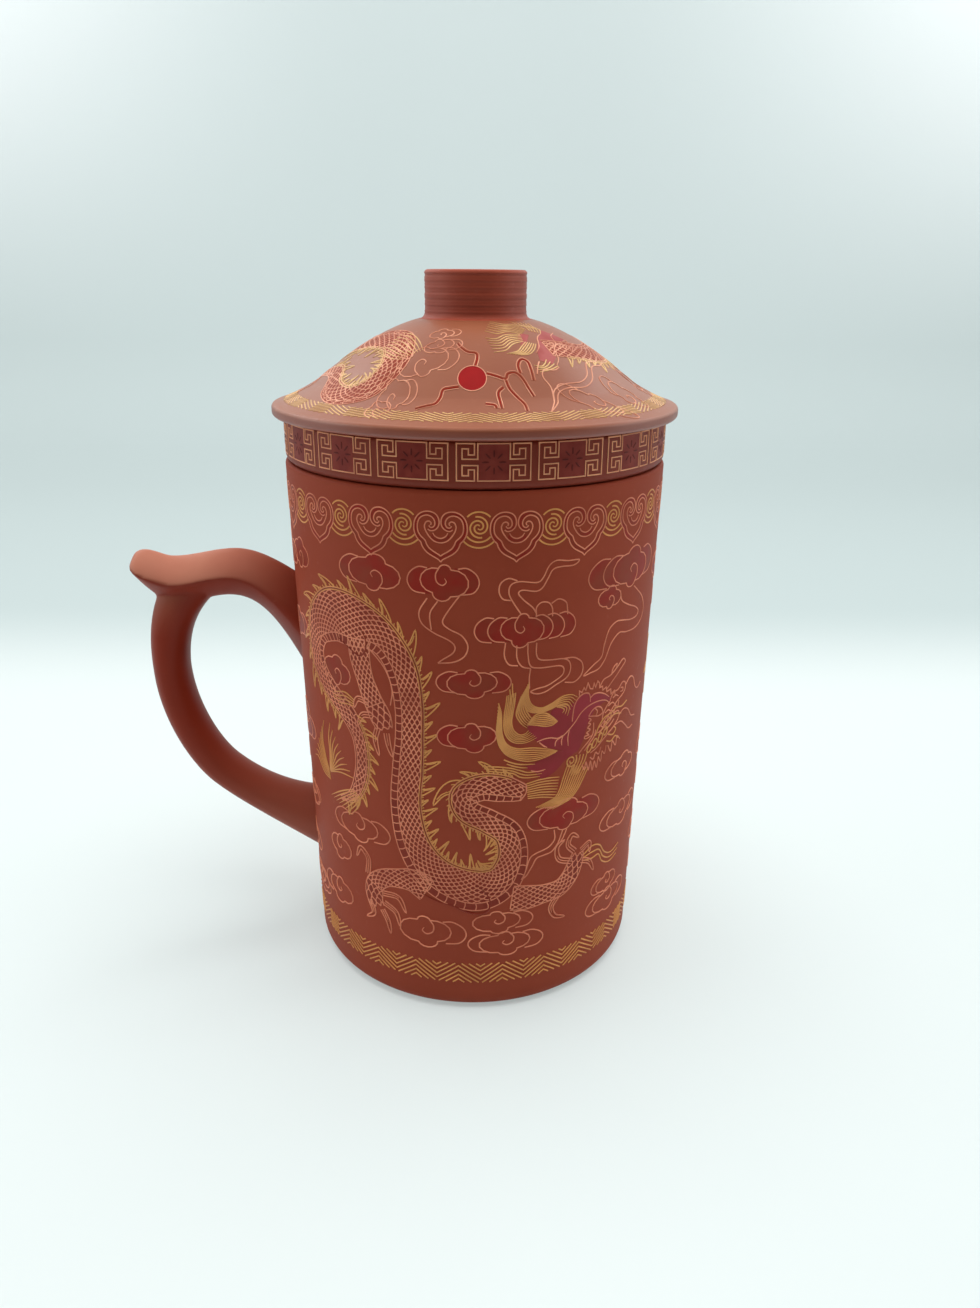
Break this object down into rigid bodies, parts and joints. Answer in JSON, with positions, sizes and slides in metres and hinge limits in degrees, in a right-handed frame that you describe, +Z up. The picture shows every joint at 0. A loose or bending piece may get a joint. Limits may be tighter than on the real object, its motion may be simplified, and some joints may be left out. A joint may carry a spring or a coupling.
{
  "type": "lidded tea mug with infuser",
  "caption": "Straight-sided clay tea mug with an ear handle, a lift-out pierced infuser with a banded collar, and a lift-off domed lid with a turned knob.",
  "frame": {"origin": "where the cup's axis meets the flat underside of its base", "axes": "+Z up the cup's axis; -X towards the handle; -Y towards the front"},
  "size_m": [0.1183, 0.0842, 0.1524],
  "materials": {
    "cup_clay": "satin",
    "foot_clay": "matte",
    "handle_clay": "satin",
    "collar_clay": "satin",
    "basket_clay": "matte",
    "lid_clay": "satin",
    "flange_clay": "matte",
    "knob_clay": "satin",
    "gold_enamel": "satin",
    "pink_enamel": "satin",
    "red_enamel": "gloss"
  },
  "bodies": {
    "cup": {"cup_wall": "cup_clay", "cup_base": "foot_clay", "handle": "handle_clay"},
    "infuser": {"infuser_collar": "collar_clay", "infuser_basket": "basket_clay", "infuser_floor": "basket_clay"},
    "lid": {"lid_dome": "lid_clay", "lid_flange": "flange_clay", "lid_knob": "knob_clay"}
  },
  "joints": [
    {"name": "infuser_lift", "type": "slide", "parent": "cup", "child": "infuser", "axis": [0, 0, 1], "range_m": [0, 0.09]},
    {"name": "lid_lift", "type": "slide", "parent": "infuser", "child": "lid", "axis": [0, 0, 1], "range_m": [0, 0.05]}
  ]
}
